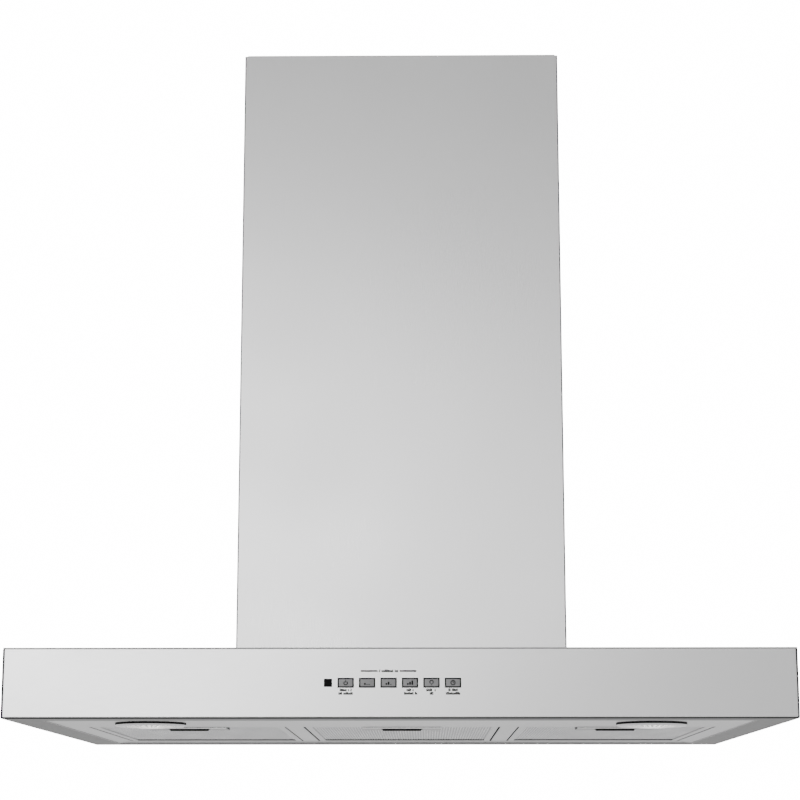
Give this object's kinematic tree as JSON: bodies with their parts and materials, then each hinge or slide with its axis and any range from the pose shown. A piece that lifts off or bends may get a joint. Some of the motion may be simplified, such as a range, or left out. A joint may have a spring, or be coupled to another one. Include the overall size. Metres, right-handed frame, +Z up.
{
  "type": "island range hood",
  "caption": "Ceiling-hung kitchen extractor hood: flat box canopy with drop-down mesh filters, lamps and push buttons under a rectangular duct cover.",
  "frame": {"origin": "centre of the ceiling plate's top face, between its four bolt holes", "axes": "+Z up to the ceiling, +X to the right along the canopy, -Y towards the button panel"},
  "size_m": [0.9, 0.7012, 0.8655],
  "materials": {
    "brushed_steel": "fine vertical and horizontal brush",
    "panel_steel": "brushed, satin",
    "filter_aluminium": "satin",
    "filter_mesh": "expanded mesh, several layers",
    "latch_plate_steel": "satin",
    "latch_dark": "fine texture",
    "spring_steel": "drawn wire",
    "lamp_chrome": "polished",
    "lamp_glass": "clear, ribbed inside",
    "reflector": "bright, faceted",
    "bulb_glass": "clear capsule in a white socket",
    "flap_aluminium": "mill finish",
    "button_grey": "satin paint",
    "sensor_black": "gloss",
    "black_plastic": "moulded",
    "board_green": "solder mask",
    "galvanised": "spangled zinc",
    "zinc_screws": "zinc plated",
    "wheel_steel": "stamped blades",
    "motor_black": "paint over cast can",
    "shaft_steel": "ground",
    "capacitor_case": "moulded"
  },
  "bodies": {
    "hood": {"blower_box": "galvanised", "bottom_panel": "panel_steel", "cable_gland": "black_plastic", "canopy_shell": "brushed_steel", "canopy_top": "brushed_steel", "capacitor": "capacitor_case", "control_board": "board_green", "control_housing": "black_plastic", "damper_pin": "shaft_steel", "hood_screws": "zinc_screws", "junction_box": "black_plastic", "lamp_bulb_left": "bulb_glass", "lamp_bulb_right": "bulb_glass", "lamp_lens_left": "lamp_glass", "lamp_lens_right": "lamp_glass", "lamp_reflector_left": "reflector", "lamp_reflector_right": "reflector", "lamp_ring_left": "lamp_chrome", "lamp_ring_right": "lamp_chrome", "lamp_transformer": "capacitor_case", "lower_cover_front": "brushed_steel", "lower_cover_rear": "brushed_steel", "lower_frame": "galvanised", "motor": "motor_black", "motor_bracket": "galvanised", "outlet_collar": "galvanised", "scroll_casing": "galvanised", "scroll_cover": "galvanised", "sensor_window": "sensor_black"},
    "mast": {"upper_frame": "galvanised", "ceiling_plate": "galvanised", "frame_bolts": "zinc_screws", "upper_cover_front": "brushed_steel", "upper_cover_rear": "brushed_steel", "upper_cover_screws": "zinc_screws"},
    "wheel": {"impeller": "wheel_steel", "motor_shaft": "shaft_steel"},
    "damper_left": {"damper_flap_left": "flap_aluminium"},
    "damper_right": {"damper_flap_right": "flap_aluminium"},
    "filter_left": {"filter_frame_left": "filter_aluminium", "filter_mesh_left": "filter_mesh", "latch_plate_left": "latch_plate_steel", "latch_spring_left": "spring_steel"},
    "latch_left": {"latch_slider_left": "latch_dark"},
    "filter_centre": {"filter_frame_centre": "filter_aluminium", "filter_mesh_centre": "filter_mesh", "latch_plate_centre": "latch_plate_steel", "latch_spring_centre": "spring_steel"},
    "latch_centre": {"latch_slider_centre": "latch_dark"},
    "filter_right": {"filter_frame_right": "filter_aluminium", "filter_mesh_right": "filter_mesh", "latch_plate_right": "latch_plate_steel", "latch_spring_right": "spring_steel"},
    "latch_right": {"latch_slider_right": "latch_dark"},
    "push_power": {"power_button": "button_grey"},
    "push_speed_low": {"speed_low_button": "button_grey"},
    "push_speed_medium": {"speed_medium_button": "button_grey"},
    "push_speed_high": {"speed_high_button": "button_grey"},
    "push_lamp": {"lamp_button": "button_grey"},
    "push_timer": {"timer_button": "button_grey"}
  },
  "joints": [
    {"name": "damper_left_swing", "type": "hinge", "parent": "hood", "child": "damper_left", "pos_m": [0, 0, -0.42], "axis": [0, 1, 0], "range_deg": [0, 75]},
    {"name": "damper_right_swing", "type": "hinge", "parent": "hood", "child": "damper_right", "pos_m": [0, 0, -0.42], "axis": [0, -1, 0], "range_deg": [0, 75]},
    {"name": "filter_left_hinge", "type": "hinge", "parent": "hood", "child": "filter_left", "pos_m": [-0.266, 0.282, -0.859], "axis": [1, 0, 0], "range_deg": [0, 75]},
    {"name": "latch_left_slide", "type": "slide", "parent": "filter_left", "child": "latch_left", "axis": [0, 1, 0], "range_m": [0, 0.006], "stiffness_N_per_m": 400, "springref_m": -0.003, "deforming": ["latch_spring_left"]},
    {"name": "filter_centre_hinge", "type": "hinge", "parent": "hood", "child": "filter_centre", "pos_m": [0, 0.282, -0.859], "axis": [1, 0, 0], "range_deg": [0, 75]},
    {"name": "latch_centre_slide", "type": "slide", "parent": "filter_centre", "child": "latch_centre", "axis": [0, 1, 0], "range_m": [0, 0.006], "stiffness_N_per_m": 400, "springref_m": -0.003, "deforming": ["latch_spring_centre"]},
    {"name": "filter_right_hinge", "type": "hinge", "parent": "hood", "child": "filter_right", "pos_m": [0.266, 0.282, -0.859], "axis": [1, 0, 0], "range_deg": [0, 75]},
    {"name": "latch_right_slide", "type": "slide", "parent": "filter_right", "child": "latch_right", "axis": [0, 1, 0], "range_m": [0, 0.006], "stiffness_N_per_m": 400, "springref_m": -0.003, "deforming": ["latch_spring_right"]},
    {"name": "impeller_spin", "type": "hinge", "parent": "hood", "child": "wheel", "pos_m": [-0.03, 0, -0.64], "axis": [0, 1, 0], "continuous": true},
    {"name": "mast_slide", "type": "slide", "parent": "hood", "child": "mast", "axis": [0, 0, 1], "range_m": [0, 0.3]},
    {"name": "push_power", "type": "slide", "parent": "hood", "child": "push_power", "axis": [0, 1, 0], "range_m": [0, 0.001], "stiffness_N_per_m": 600, "springref_m": -0.001},
    {"name": "push_speed_low", "type": "slide", "parent": "hood", "child": "push_speed_low", "axis": [0, 1, 0], "range_m": [0, 0.001], "stiffness_N_per_m": 600, "springref_m": -0.001},
    {"name": "push_speed_medium", "type": "slide", "parent": "hood", "child": "push_speed_medium", "axis": [0, 1, 0], "range_m": [0, 0.001], "stiffness_N_per_m": 600, "springref_m": -0.001},
    {"name": "push_speed_high", "type": "slide", "parent": "hood", "child": "push_speed_high", "axis": [0, 1, 0], "range_m": [0, 0.001], "stiffness_N_per_m": 600, "springref_m": -0.001},
    {"name": "push_lamp", "type": "slide", "parent": "hood", "child": "push_lamp", "axis": [0, 1, 0], "range_m": [0, 0.001], "stiffness_N_per_m": 600, "springref_m": -0.001},
    {"name": "push_timer", "type": "slide", "parent": "hood", "child": "push_timer", "axis": [0, 1, 0], "range_m": [0, 0.001], "stiffness_N_per_m": 600, "springref_m": -0.001}
  ]
}
